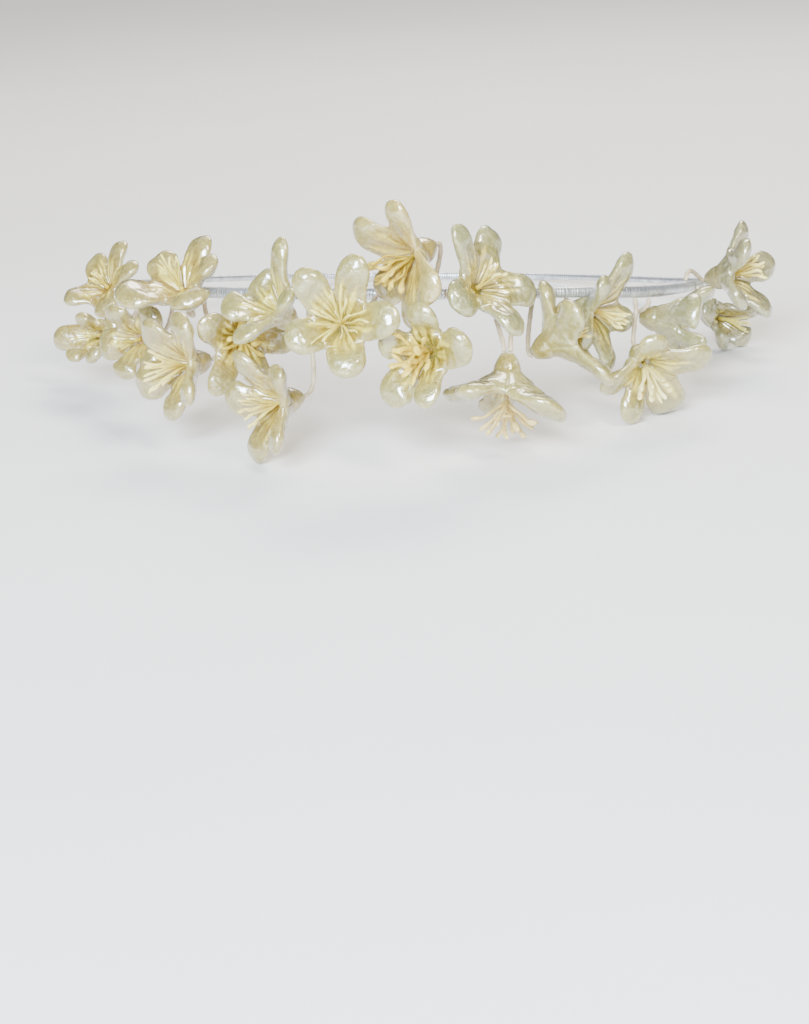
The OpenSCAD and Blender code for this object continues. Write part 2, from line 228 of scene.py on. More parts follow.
def band_surface():
    """A tube round the oval. Its radius is the station's, less the groove between two turns
    of the thread: the turns run round as a helix, each turn crowned as half a flat ellipse,
    some a little wider and higher than others."""
    along = thread_turns * samples_a_turn
    angle = np.linspace(-180, 180, along + 1)[:, None]
    side = -np.linspace(0, 360, band_sides + 1)[None, :]
    turns = thread_turns * (angle + 180) / 360
    wander = 0.22 * sind(turns * 31) + 0.16 * sind(turns * 83 + 40)
    place = (turns + wander * (1 - np.abs(angle) / 180) - side / 360) % 1
    crown = np.sqrt(np.clip(1 - (2 * place - 1) ** 2, 0, 1))
    uneven = 0.04 * np.sin(turns * 0.9 + 1.3 * sind(side)) + 0.03 * np.sin(turns * 2.3)
    radius = band_column(angle, 2) - groove_depth * (1 - crown) - np.abs(uneven)
    centre = on_oval(angle, 0) + band_column(angle, 1)[..., None] * np.array([0, 0, 1.0])
    points = centre + (radius * cosd(side))[..., None] * outward(angle) \
        + (radius * sind(side))[..., None] * np.array([0, 0, 1.0])
    points[-1], points[:, -1] = points[0], points[:, 0]
    crown[-1], crown[:, -1] = crown[0], crown[:, 0]
    return points, crown


band_points, band_crown = band_surface()
band = closed_mesh("thread_band", [band_points], silver_thread(), {"groove": [band_crown]})
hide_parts("band")

# The blossoms
# Nineteen blossoms of ivory wax, dipped and pressed by hand. Five petals are fused to a short
# bell from the throat to almost half their length; their free ends are thick round spoons
# with rolled glossy rims, and soft creases run down into the throat.
petal_count = 5
petal_width, petal_thick, petal_swell = 9.4, 2.2, 0.9
petal_cup, petal_flat = 0.22, 0.7
petal_neck, petal_waist, petal_shoulder = 0.36, 0.5, 0.68
# a petal's tip is a drop: how much thicker, where along the petal, over which share of it
drop_more, drop_place, drop_long, rim_power = 0.35, 0.78, 0.2, 0.52
flutter_high, flutter_turn = 0.3, 420
root_ring, root_depth, root_lean, tip_lean = 1.9, 1.2, 0.6, 0.6
bell_long, bell_tip, bell_mouth, throat_wide = 5.5, 3.2, 6.6, 2.6
# the power by which the bell narrows, the share of its depth that is rounded off, its lumps
bell_power, bell_rounded, bell_lumps = 1.8, 0.1, 0.1
# the funnels that the roots blend into, inside (1) and outside (-1): width and depth at the
# root, how far it opens out and runs forward over a petal's length, and the share of the
# length over which they blend
funnels = {1: (throat_wide, 0, 3, 0.6, 0.22), -1: (bell_mouth, root_depth, 5, 6, 0.3)}
notch, notch_round, web_share, web_end = 0.45, 0.17, 0.7, 0.12
# petals further apart than twice wide_gap have all the room they want
room_share, least_room, wide_gap, widest_gap = 0.95, 1, 60, 170
# the ridges in a throat: how many, how far from the middle and how unevenly, their least and
# greatest height and end, their width and sway as shares of the petal's half width, their
# rise, and the height that counts as a whole ridge
ridge_count, ridge_spread, ridge_uneven = 4, 0.66, 0.13
ridge_heights, ridge_ends = (0.25, 0.6), (0.5, 0.8)
ridge_width, ridge_sway, ridge_rise, ridge_whole = 0.12, 0.05, 0.28, 0.4
# depth and size of the large and the small dents of a pressed petal
dents_large, dents_small = (0.15, 4.4), (0.07, 2.0)
# angle on the band, distance out from the band, height above it, heading (0 faces forward,
# + turns right), rise, shade of the wax, and five petals: turn clockwise from the top as seen
# from in front of the blossom, opening from the axis, length, share of the full width, twist
# of its end
blossoms = [
    [-86, 9, -1, -46, 38, "warm",
     [[9, 70, 13, 0.7, -2], [67, 78, 13, 0.75, -8], [139, 91, 11, 0.85, 0],
      [223, 64, 12, 0.85, 8], [308, 81, 12, 0.85, -12]]],
    [-76, 11, -13, -39, 0, "warm",
     [[1, 26, 10, 0.75, -10], [75, 65, 12, 0.75, 4], [137, 37, 12, 0.75, -10],
      [204, 28, 12, 0.7, -2], [264, 73, 14, 0.75, 6]]],
    [-45, 6, 0, -31, 52, "warm",
     [[9, 66, 15, 0.85, -12], [76, 56, 14, 0.9, 4], [130, 75, 14, 1.15, -6],
      [215, 63, 17, 1.3, -12], [306, 69, 13, 0.95, -10]]],
    [-39, 12, -17, -56, -9, "warm",
     [[31, 77, 15, 1.0, 0], [120, 59, 15, 0.8, 0], [183, 58, 14, 0.85, -10],
      [249, 59, 16, 1.0, -6], [321, 66, 15, 1.0, -10]]],
    [-62, 5, -13, -38, -5, "warm",
     [[56, 71, 15, 1.0, 4], [121, 62, 14, 0.9, 0], [186, 50, 11, 0.9, -12],
      [261, 83, 11.5, 0.9, 6], [349, 48, 12, 0.95, -10]]],
    [-34, 2, -11, 14, -8, "warm",
     [[10, 62, 13, 0.8, -6], [83, 62, 14, 0.85, 8], [156, 53, 13, 0.75, 8],
      [213, 60, 16, 0.7, 6], [296, 57, 14, 0.85, 0]]],
    [-23, 9, -4, -55, 38, "ivory",
     [[13, 47, 18, 0.7, 6], [89, 62, 14, 0.75, 6], [165, 63, 15, 0.9, 0],
      [241, 46, 14, 0.95, -12], [305, 65, 12, 1, -6]]],
    [-22, 11, -25, -58, -10, "warm",
     [[48, 72, 14, 0.75, -12], [137, 56, 15, 0.8, 4], [207, 69, 16, 0.8, -8],
      [279, 56, 15, 1.0, -4], [344, 59, 16, 0.75, 0]]],
    [-11, 20, -6, -7, 11, "ivory",
     [[17, 61, 17, 0.85, -8], [89, 59, 16, 0.95, 4], [167, 63, 14, 0.95, -10],
      [246, 59, 14, 0.95, 6], [320, 61, 16, 0.85, -4]]],
    [-1, 12, 10, -56, -24, "tan",
     [[26, 76, 17, 0.85, 4], [116, 64, 17, 1.1, -40], [174, 63, 17, 0.95, -8],
      [233, 68, 15, 0.95, -10], [312, 70, 16, 0.95, 6]]],
    [8, 11, 2, 46, 26, "green",
     [[28, 79, 15, 0.85, 6], [103, 78, 15, 0.9, 8], [179, 64, 16, 0.85, -6],
      [249, 82, 13, 1, -2], [321, 63, 17, 0.7, -10]]],
    [1, 19, -12, -29, -7, "ivory",
     [[6, 61, 13, 0.85, 4], [78, 70, 13, 1, 10], [163, 47, 15, 0.75, -10],
      [218, 68, 15, 0.95, 6], [291, 49, 12, 0.85, -12]]],
    [13, 10, -18.5, -6, -82, "ivory",
     [[52, 62, 19, 1.35, -30], [129, 58, 15, 0.9, -6], [200, 58, 15, 0.9, 2],
      [262, 76, 15, 0.85, 8], [318, 76, 15, 0.9, 4]]],
    [21, 8, -11, 86, 32, "ivory",
     [[2, 68, 14, 0.9, 0], [72, 62, 14, 0.95, 12], [141, 68, 13, 0.85, -2],
      [208, 69, 18, 0.8, 2], [292, 49, 15, 0.95, 6]]],
    [31, 2, -4, 58, -9, "green",
     [[26, 77, 16, 0.8, 2], [101, 67, 13, 0.7, -2], [171, 69, 15, 0.7, -4],
      [238, 73, 13, 0.75, -6], [312, 62, 14, 0.75, 12]]],
    [40, 7, -17, 26, -40, "ivory",
     [[59, 72, 16, 0.9, -8], [136, 75, 16, 1.05, 10], [204, 48, 15, 0.8, 12],
      [268, 65, 16, 0.85, -6], [344, 75, 12, 0.85, -10]]],
    [49, 2, -7, 83, -7, "green",
     [[18, 35, 16, 0.85, 6], [90, 62, 14, 0.95, -4], [160, 58, 14, 0.95, 4],
      [228, 35, 16, 1.05, 2], [290, 48, 14, 1.2, -2]]],
    [73, 7, 3, 65, 14, "cool",
     [[20, 64, 15, 0.75, 10], [86, 45, 16, 0.9, 2], [157, 59, 16, 0.9, -4],
      [226, 68, 13, 0.9, 6], [306, 42, 15, 0.9, -10]]],
    [84, 5, -9, 53, -11, "cool",
     [[0, 20, 16, 0.8, -10], [64, 62, 14, 0.8, 4], [127, 43, 11, 0.8, 0],
      [221, 47, 10, 0.8, -8], [286, 84, 12, 0.8, 12]]],
]
# deep in the throat, darker with painted shade; middle of a petal; its round end; its rim,
# lighter with painted light through the thin wax; the ridges
wax_shades = {
    "warm": [(160, 124, 38), (166, 140, 58), (166, 152, 88), (188, 172, 104), (243, 226, 108)],
    "ivory": [(154, 135, 34), (161, 141, 50), (164, 155, 92), (193, 181, 109), (251, 235, 110)],
    "tan": [(174, 134, 40), (182, 153, 62), (179, 164, 96), (203, 182, 108), (246, 226, 108)],
    "green": [(142, 121, 35), (147, 131, 56), (153, 149, 98), (184, 177, 116), (248, 228, 113)],
    "cool": [(124, 109, 42), (137, 122, 63), (155, 148, 104), (182, 179, 127), (241, 221, 127)],
}


def noted(tree, note):
    """A value kept on the points of the mesh."""
    node = tree.nodes.new("ShaderNodeAttribute")
    node.attribute_name = note
    return node.outputs["Fac"]


def ivory_wax(shade):
    """Pearly wax that light sinks into: olive yellow deep in the throat, its own colour darkened
    there with painted shade, ivory along the petal, greyer at its round end, palest on the thin
    rim with painted light through the thin wax, bright yellow on the ridges. Cloudy, a slightly
    crumpled skin, and a gloss that comes and goes under a hard clear coat."""
    material, tree, shader = new_finish("ivory_wax_" + shade)
    deep, middle, end, rim, ridge = [colour(*c) for c in wax_shades[shade]]
    cloud = mottle(tree, 260, 4.0)
    share = tree.nodes.new("ShaderNodeMath")
    share.operation = "MULTIPLY_ADD"
    tree.links.new(cloud, share.inputs[0])
    share.inputs[1].default_value = 0.4
    tree.links.new(spread(tree, noted(tree, "share"), 0, 1, -0.2, 0.8), share.inputs[2])
    # the deep end of this ramp is the wax's own olive yellow darkened with painted shade in the
    # throat
    body = ramp(tree, share.outputs[0], (0.0, deep), (0.12, deep), (0.4, middle), (0.74, end))
    body = mixed(tree, spread(tree, noted(tree, "crease"), 0.15, 1.0, 0, 0.8), body, ridge)
    # painted light: the paler rim colour laid on towards the thin rim, as light shining through it
    body = mixed(tree, spread(tree, noted(tree, "edge"), 0.7, 1.0, 0, 0.4), body, rim)
    stain = spread(tree, mottle(tree, 700, 5.0, 0.65), 0.42, 0.72, 0, 0.5)
    body = mixed(tree, stain, body, middle, "MULTIPLY")
    tree.links.new(body, shader.inputs["Base Color"])
    shader.inputs["Metallic"].default_value = 0.1
    shader.inputs["Subsurface Weight"].default_value = 0.45
    shader.inputs["Subsurface Radius"].default_value = (1.0, 0.8, 0.4)
    shader.inputs["Subsurface Scale"].default_value = 0.0015
    tree.links.new(spread(tree, mottle(tree, 420, 3.0), 0.3, 0.7, 0.12, 0.32),
                   shader.inputs["Roughness"])
    shader.inputs["IOR"].default_value = 1.6
    shader.inputs["Coat Weight"].default_value = 1.0
    shader.inputs["Coat Roughness"].default_value = 0.14
    shader.inputs["Coat IOR"].default_value = 2.1
    crumple = raised(tree, mottle(tree, 430, 3.0, 0.5), 0.0009, 0.65)
    wrinkles = raised(tree, mottle(tree, 1300, 3.0, 0.6), 0.0003, 0.9, crumple)
    tree.links.new(raised(tree, mottle(tree, 3600, 2.0), 0.00006, 0.6, wrinkles),
                   shader.inputs["Normal"])
    return material


def eased(low, high, x):
    """0 below low, 1 above high, and an S between them."""
    x = np.clip((x - low) / (high - low), 0, 1)
    return x * x * (3 - 2 * x)


def lumps(points, scale, seed):
    """Soft lumps of about -1 to 1: a third of the sum of six plane waves in seeded directions."""
    dice = np.random.default_rng(seed)
    ways = dice.normal(size=(6, 3))
    ways *= 2 * np.pi / scale / np.linalg.norm(ways, axis=1, keepdims=True)
    return np.sin(points @ ways.T + dice.uniform(0, 6.28, 6)).sum(-1) / 3


def blossom_frame(row):
    """Throat of a blossom, the way it faces, its right-hand side and its top."""
    angle, out, up, heading, rise = row[:5]
    throat = on_oval(angle, out) + np.array([0, 0, up])
    facing = np.array([cosd(rise) * sind(heading), -cosd(rise) * cosd(heading), sind(rise)])
    right = np.array([cosd(heading), sind(heading), 0])
    return throat, facing, right, np.cross(facing, right)


def petal_spines(throat, facing, spoke, opening, length, t):
    """The middle line of each petal, an arc whose lean from the axis grows along it; the way to
    the petal's inner face; and its distance from the axis."""
    start = opening[:, None] * root_lean
    lean = opening[:, None] * (root_lean + tip_lean * t)
    bend = np.degrees(length / (opening * tip_lean))[:, None]
    along = bend * (sind(lean) - sind(start)) - root_depth
    off = bend * (cosd(start) - cosd(lean)) + root_ring
    spine = throat + along[..., None] * facing + off[..., None] * spoke[:, None, :]
    inside = sind(lean)[..., None] * facing - cosd(lean)[..., None] * spoke[:, None, :]
    return spine, inside, off


def petal_reach(share_wide, gap, off, thickness, t, round_end):
    """Half width of each petal to its left and right: a spoon's outline, a sine from the neck
    to the waist and a quarter circle past the shoulder, held back to its half of the gap to
    the next petal."""
    spoon = np.where(t < petal_waist,
                     petal_neck + (1 - petal_neck) * sind(90 * t / petal_waist),
                     np.sqrt(1 - round_end ** 2))
    room = np.maximum(off - thickness / 2, least_room)[..., None] * room_share \
        * np.tan(np.radians(np.minimum(gap, widest_gap) / 2))
    return np.minimum((petal_width / 2 * share_wide[:, None] * spoon)[..., None],
                      np.where(gap > 2 * wide_gap, petal_width, room))


def petal_ridges(s, t, wave, ridges):
    """Ridges that run out of the throat: each a bell curve across the petal, on a lane that
    sways and draws in towards the middle, and that fades in at the root and out at its end."""
    crease = 0
    for k in range(ridge_count):
        place, high, end = [value[:, k, None, None] for value in ridges]
        lane = place * (1 - 0.35 * t) + ridge_sway * sind(t * 700 + wave)
        fade = eased(0.02, 0.15, t) * (1 - eased(end - 0.25, end, t))
        crease = crease + high / ridge_whole * fade * np.exp(-((s - lane) / ridge_width) ** 2)
    return crease


def seams_closed(points, edges, inside, s, t, face):
    """Up to the notch the sides of a petal are pulled over to the seam, halfway to the
    neighbour's edge and thick by the web; past it they part again along a quarter circle."""
    seam = (edges[:, :, 1] + np.roll(edges[:, :, 0], -1, 0)) / 2
    closing = np.sqrt(1 - np.clip((t - notch + web_end) / web_end, 0, 1) ** 2)
    web = face * web_share * petal_thick / 2 * closing[None, :, None] \
        * (inside + np.roll(inside, -1, 0)) / 2
    past = np.clip((t - notch) / notch_round, 0, 1)
    held = np.where(t <= notch, 1, 1 - np.sqrt(past * (2 - past)))[None, :, None, None]
    pull = held * np.stack([np.roll(seam + web, 1, 0) - edges[:, :, 0],
                            seam + web - edges[:, :, 1]], 2)
    return points + eased(0.35, 1.0, np.abs(s))[:, None] \
        * np.where(s[:, None] < 0, pull[:, :, :1], pull[:, :, 1:])


def pressed(points, way, t, q, seed):
    """Shallow dents where the warm petal was pressed, none at its root or on its rim."""
    (depth, size), (depth_small, size_small) = dents_large, dents_small
    dents = depth * lumps(points, size, seed) + depth_small * lumps(points, size_small, seed + 50)
    return points + (dents * eased(0.1, 0.35, t) * (1 - q ** 8))[..., None] * way


def corolla_surface(row, seed):
    """Five petals, each an inner and an outer skin; t runs along a petal from root to tip and s
    across it from side to side. Its thickness, fuller towards the tip, is a root of 1 less q
    squared, with q = 1 all round the outline, so that its free end is a smooth drop; its sides
    curl in with s squared, and past the notch its section is turned about its spine, more
    towards the tip. Outer skins run on into the bell, a tube that narrows as a power of the way
    down and is rounded off, and inner ones into the floor of the throat."""
    throat, facing, right, top = blossom_frame(row)
    turn, opening, length, share_wide, twist = np.array(row[6], float).T
    dice = np.random.default_rng(seed)
    spoke = cosd(turn)[:, None] * top + sind(turn)[:, None] * right
    onward = -np.cross(facing, spoke)
    after = (np.roll(turn, -1) - turn) % 360
    before = np.roll(after, 1)
    gap = np.stack([before, after], 1)[:, None]
    wave = dice.uniform(0, 360, petal_count)[:, None, None]
    each = (petal_count, ridge_count)
    ridges = [np.linspace(-ridge_spread, ridge_spread, ridge_count)
              + dice.uniform(-ridge_uneven, ridge_uneven, each),
              dice.uniform(*ridge_heights, each), dice.uniform(*ridge_ends, each)]

    def skin(t, columns, face):
        """Points of the inner (face 1) or outer (face -1) skin at shares t, and their notes:
        share of the length, nearness to the rim, height of the ridges."""
        s = -np.cos(np.linspace(0, np.pi, columns))
        spine, inside, off = petal_spines(throat, facing, spoke, opening, length, t)
        thickness = petal_thick * np.sqrt(share_wide)[:, None] * (1 + petal_swell * t)
        round_end = np.clip((t - petal_shoulder) / (1 - petal_shoulder), 0, 1)
        reach = petal_reach(share_wide, gap, off, thickness, t, round_end)
        wide = np.where(s < 0, reach[..., :1], reach[..., 1:])
        drop = 1 + drop_more * np.exp(-((t - drop_place) / drop_long) ** 2) * (face > 0)
        tip = round_end[:, None] ** 2
        t3 = t[None, :, None]
        q = np.sqrt(np.clip(s ** 2 * (1 - tip) + tip, 0, 1))[None]
        crease = petal_ridges(s, t3, wave, ridges) if face > 0 else 0 * wide
        thick = (thickness * drop)[..., None] / 2 * np.clip(1 - q ** 2, 0, 1) ** rim_power \
            + ridge_rise * crease * (1 - q ** 4)
        turned = twist[:, None, None] * np.maximum(t3 - notch, 0) / (1 - notch)
        curl = petal_cup * (1 - petal_flat * t3)
        flutter = flutter_high * sind(t3 * flutter_turn + wave) * eased(0.3, 0.6, t3)

        def laid(across, inward):
            return spine[:, :, None] + (
                across * cosd(turned) + inward * sind(turned))[..., None] * onward[:, None, None] \
                + (inward * cosd(turned) - across * sind(turned))[..., None] * inside[:, :, None]

        points = laid(s * wide, face * thick + (curl * wide + flutter) * s ** 2)
        edges = laid(reach * np.array([-1, 1]), curl * reach + flutter)
        points = seams_closed(points, edges, inside, s, t, face)
        points = pressed(points, face * inside[:, :, None], t3, q, seed)
        side_turn = turn[:, None] + s * np.where(s < 0, before[:, None], after[:, None]) / 2
        circle = cosd(side_turn)[..., None] * top + sind(side_turn)[..., None] * right
        mouth, deep, opened, forward, blended = funnels[face]
        t4 = t3[..., None]
        funnel = throat + (mouth / 2 + opened * t4) * circle[:, None] \
            + (forward * t4 - deep) * facing
        root = 1 - eased(0, blended, t4)
        points = points * (1 - root) + funnel * root
        share = t3 if face > 0 else 0.55 + 0.45 * t3
        return points, [share + 0 * wide, q + 0 * wide, crease], circle

    columns = 31
    fused = notch * np.sin(np.linspace(0, np.pi / 2, 15))
    parting = notch + notch_round * np.array([0, 0.02, 0.08, 0.18, 0.32, 0.5, 0.72, 1])
    rounding = 1 - (1 - petal_shoulder) * (1 - np.sin(np.linspace(0, np.pi / 2, 13)[1:]))
    free = np.concatenate([parting, [0.65, petal_shoulder], rounding])
    inner, inner_notes, circle = skin(fused, columns, 1)
    outer, outer_notes, _ = skin(fused, columns, -1)
    outer[:, -1, [0, -1]] = inner[:, -1, [0, -1]]
    spoons, spoon_notes, _ = skin(free, columns, 1)
    backs, back_notes, _ = skin(free, columns, -1)
    spoons[:, 0], backs[:, 0] = inner[:, -1], outer[:, -1]
    sides = (spoons[:, :, [0, -1]] + backs[:, :, [0, -1]]) / 2
    spoons[:, :, [0, -1]] = backs[:, :, [0, -1]] = sides
    spoons[:, -1:] = backs[:, -1:] = (spoons[:, -1:] + backs[:, -1:]).mean(2, keepdims=True) / 2

    down = np.concatenate([np.linspace(0, 1, 9), np.ones(4)])[:, None, None]
    over = np.concatenate([np.zeros(9), [30, 60, 80, 90]])[:, None, None]
    depth = root_depth + (bell_long - root_depth) * (
        (1 - bell_rounded) * down + bell_rounded * sind(over))
    girth = (bell_tip / 2 + (bell_mouth - bell_tip) / 2 * (1 - down ** bell_power)) * cosd(over) \
        + bell_lumps * lumps(circle[:, None] * 5 + down, 4, seed)[..., None] * down * cosd(over)
    bell = throat - depth * facing + girth * circle[:, None]
    floor = np.concatenate([np.broadcast_to(throat, (petal_count, 1, columns, 3)), inner[:, :1]], 1)
    # painted light: the bell takes more of the pale rim colour towards its tip, where it sits in
    # its own shade
    paler = 0.3 + 0.7 * down[:, :, 0]
    grids, notes = [], {"share": [], "edge": [], "crease": []}
    for k in range(petal_count):
        for grid, side, way in ((inner, inner_notes, 1), (spoons, spoon_notes, 1),
                                (outer, outer_notes, -1), (backs, back_notes, -1)):
            grids.append(grid[k, ::way])
            for note, values in zip(notes, side):
                notes[note].append(values[k, ::way])
        for grid, values in ((floor[k], (0.0, 0.3, 0.0)), (bell[k], (0.55, paler, 0.0))):
            grids.append(grid)
            for note, value in zip(notes, values):
                notes[note].append(np.broadcast_to(value, grid.shape[:2]))
    return grids, notes


wax = {shade: ivory_wax(shade) for shade in wax_shades}
for number, row in enumerate(blossoms, 1):
    grids, notes = corolla_surface(row, number)
    blossom = closed_mesh(f"wax_corolla_{number:02d}", grids, wax[row[5]], notes)
    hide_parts(f"corolla_{number:02d}")

# The stamens
# A bunch of waxed threads in each throat, bound together at the foot. Each thread is drawn
# out by hand, so it wavers and flattens, and ends in a longer thicker knob of wax.
trunk_thick, stamen_thick, knob_thick, knob_long = 1.3, 0.9, 1.3, 2.6
fit_gap, golden_angle, sunk = 0.15, 137.5, 0.6
# least and greatest length of a thread as shares of the bunch's, how far it sets off along
# the axis before it bends over, how far it strays, its waves, its thickness as a share of its
# width
thread_lengths, thread_rise, thread_stray = (0.86, 1.03), 0.14, 0.3
thread_waves, thread_flat = (6, 11), (0.4, 0.8)
# turn and tilt of the bunch from the axis, half angle of its fan, length of a stamen, length
# of the bound foot, number of stamens, shade
bunches = [
    [0, 0, 35, 5.5, 1.5, 8, "pale"],
    [0, 0, 18, 5, 1.5, 7, "pale"],
    [0, 0, 22, 10, 1.5, 7, "pale"],
    [0, 0, 38, 11.5, 1.5, 12, "straw"],
    [0, 0, 20, 7, 2, 7, "pale"],
    [0, 0, 58, 8, 1.5, 9, "golden"],
    [0, 0, 12, 4, 1.5, 6, "pale"],
    [270, 5, 34, 10, 1.5, 12, "straw"],
    [0, 0, 54, 10.5, 1.5, 16, "pale"],
    [225, 10, 38, 11, 1.5, 12, "golden"],
    [330, 12, 26, 8, 1.5, 7, "straw"],
    [255, 10, 46, 10, 1.5, 14, "golden"],
    [0, 0, 70, 10, 6.5, 14, "beige"],
    [180, 25, 14, 8, 2, 5, "straw"],
    [150, 10, 22, 8, 2, 8, "straw"],
    [240, 8, 32, 10.5, 1.5, 10, "cream"],
    [0, 0, 12, 5, 2, 5, "pale"],
    [0, 0, 26, 10, 1.5, 9, "straw"],
    [0, 0, 20, 8, 2, 7, "pale"],
]
# foot of a thread, its length, its knob
stamen_shades = {
    "pale": [(190, 164, 50), (226, 206, 90), (246, 232, 138)],
    "straw": [(190, 160, 50), (226, 200, 90), (246, 230, 144)],
    "golden": [(144, 112, 26), (198, 168, 54), (232, 204, 84)],
    "beige": [(150, 126, 66), (192, 165, 98), (224, 199, 130)],
    "cream": [(196, 174, 84), (230, 212, 130), (250, 238, 172)],
}
# how far the threads of a shade waver, how thick they are against the usual one, how much of
# the swelling at their ends they have, by what angle they gather into clumps
manners = {"pale": (0.25, 0.7, 0.3, 10), "straw": (0.3, 0.85, 0.6, 8),
           "golden": (0.8, 1.4, 1.5, 11), "beige": (0.5, 1.3, 1.0, 8),
           "cream": (0.3, 1.3, 1.0, 9)}


def stamen_wax(shade):
    """Yellow wax over thread: darker at the foot, paler at the knob, streaked lengthwise where
    the thread shows through, with a dull gloss."""
    material, tree, shader = new_finish("stamen_wax_" + shade)
    foot, length, knob = [colour(*c) for c in stamen_shades[shade]]
    body = ramp(tree, noted(tree, "share"), (0.05, foot), (0.35, length), (0.9, knob))
    streak = spread(tree, mottle(tree, 1500, 4.0), 0.4, 0.7, 0, 0.55)
    tree.links.new(mixed(tree, streak, body, foot), shader.inputs["Base Color"])
    shader.inputs["Subsurface Weight"].default_value = 0.3
    shader.inputs["Subsurface Radius"].default_value = (1.0, 0.75, 0.35)
    shader.inputs["Subsurface Scale"].default_value = 0.001
    tree.links.new(spread(tree, mottle(tree, 900), 0.3, 0.7, 0.25, 0.5), shader.inputs["Roughness"])
    tree.links.new(raised(tree, mottle(tree, 2200, 3.0), 0.00015, 0.6), shader.inputs["Normal"])
    return material


def carried_ring(path, ways, plumb, across, flat, sides):
    """A closed profile carried along a path: at each station an ellipse in the plane square to
    the path, one half axis across and the other flat times that; the ends close to a point."""
    side = np.cross(ways, plumb)
    side /= np.linalg.norm(side, axis=-1, keepdims=True)
    other = np.cross(ways, side)
    around = np.linspace(0, 360, sides + 1)[None, :, None]
    points = path[:, None] + across[:, None, None] * (
        cosd(around) * side[:, None] + flat * sind(around) * other[:, None])
    points[:, -1] = points[:, 0]
    return points


def thread_path(t, fork, facing, way, length, waver, dice):
    """The middle line of a thread: a quadratic curve that sets off along the blossom's axis and
    bends over to its own direction, wavering by a sine that grows along it."""
    start, end = fork - sunk * facing, fork + length * dice.uniform(*thread_lengths) * way
    middle = (start + end) / 2 + thread_rise * length * (facing - (facing @ way) * way) \
        + dice.normal(0, thread_stray, 3)
    sway = np.cross(way, dice.normal(size=3))
    bow = waver * np.sin(t * dice.uniform(*thread_waves) + dice.uniform(0, 6)) * t ** 1.5
    return ((1 - t) ** 2)[:, None] * start + (2 * t * (1 - t))[:, None] * middle \
        + (t ** 2)[:, None] * end + bow[:, None] * sway


def thread_girth(t, number, length, fullness, ending, dice):
    """Half the width of a thread: a ripple plus a long swelling near the end, a bell curve half
    a knob back from it, and rounded off at the very tip."""
    knob = knob_long / length
    swell = np.exp(-((t - 1 + knob * 0.45) / (knob * 0.55)) ** 2)
    girth = stamen_thick / 2 * fullness * (0.85 + 0.15 * np.sin(t * 19 + number)) \
        + (knob_thick - stamen_thick) / 2 * ending * swell * dice.uniform(0.6, 1.1)
    girth = girth * np.sqrt(np.clip((1 - t) / 0.07, 0, 1))
    girth[[0, -1]] = 0
    return girth


def stamen_bunch(row, bunch, seed):
    """The bound foot, a tube that narrows to its fork, and the threads, spread over the fan as
    the seeds of a sunflower and gathered a little towards the five petals. The section of a
    thread is a flat ellipse that turns along it as the thread was twisted."""
    turn, tilt, fan, length, foot, count, shade = bunch
    throat, facing, right, top = blossom_frame(row)
    spoke = cosd(turn) * top + sind(turn) * right
    axis = cosd(tilt) * facing + sind(tilt) * spoke
    across = cosd(tilt) * spoke - sind(tilt) * facing
    along = np.cross(axis, across)
    root = throat + fit_gap * facing
    fork = root + foot * facing
    waver, fullness, ending, gather = manners[shade]
    dice = np.random.default_rng(100 + seed)
    down = np.linspace(0, 1, 9)
    girth = trunk_thick / 2 * (1 - 0.25 * down) * (1 + 0.08 * np.sin(down * 14))
    girth[[0, -1]] = 0
    trunk = root + (foot + 0.3) * down[:, None] * facing
    grids = [carried_ring(trunk, np.tile(facing, (9, 1)), right, girth, 1.0, 12)]
    shares = [np.tile(np.linspace(0, 0.3, 9)[:, None], (1, 13))]
    t = np.concatenate([[0], np.linspace(0, 1, 21), [1]])
    for k in range(count):
        spread_angle = fan * np.sqrt((k + 0.5) / count)
        round_axis = k * golden_angle - gather * sind(petal_count * k * golden_angle)
        way = cosd(spread_angle) * axis + sind(spread_angle) * (
            cosd(round_axis) * across + sind(round_axis) * along)
        path = thread_path(t, fork, facing, way, length, waver, dice)
        ways = np.gradient(path, axis=0)
        ways[0], ways[-1] = ways[1], ways[-2]
        ways /= np.linalg.norm(ways, axis=1, keepdims=True)
        girth = thread_girth(t, k, length, fullness, ending, dice)
        turning = dice.uniform(0, 360) + t * dice.uniform(-90, 90)
        side = np.cross(way, right + 0.3 * top)
        plumb = cosd(turning)[:, None] * side + sind(turning)[:, None] * np.cross(way, side)
        grids.append(carried_ring(path, ways, plumb, girth, dice.uniform(*thread_flat), 10))
        shares.append(np.tile(0.15 + 0.85 * t[:, None], (1, 11)))
    return grids, shares


yellow_wax = {shade: stamen_wax(shade) for shade in stamen_shades}
for number, (row, bunch) in enumerate(zip(blossoms, bunches), 1):
    grids, shares = stamen_bunch(row, bunch, number)
    threads = closed_mesh(f"wax_stamens_{number:02d}", grids, yellow_wax[bunch[6]],
                          {"share": shares})
    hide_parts(f"stamens_{number:02d}")

# The stems
# Each blossom hangs on a short wire, wrapped in white thread and dipped, from the back of its
# bell to the circlet, where the winding binds it in; the blossom that hangs straight down
# has two.
stem_thick, thread_lay = 1.3, 1.6
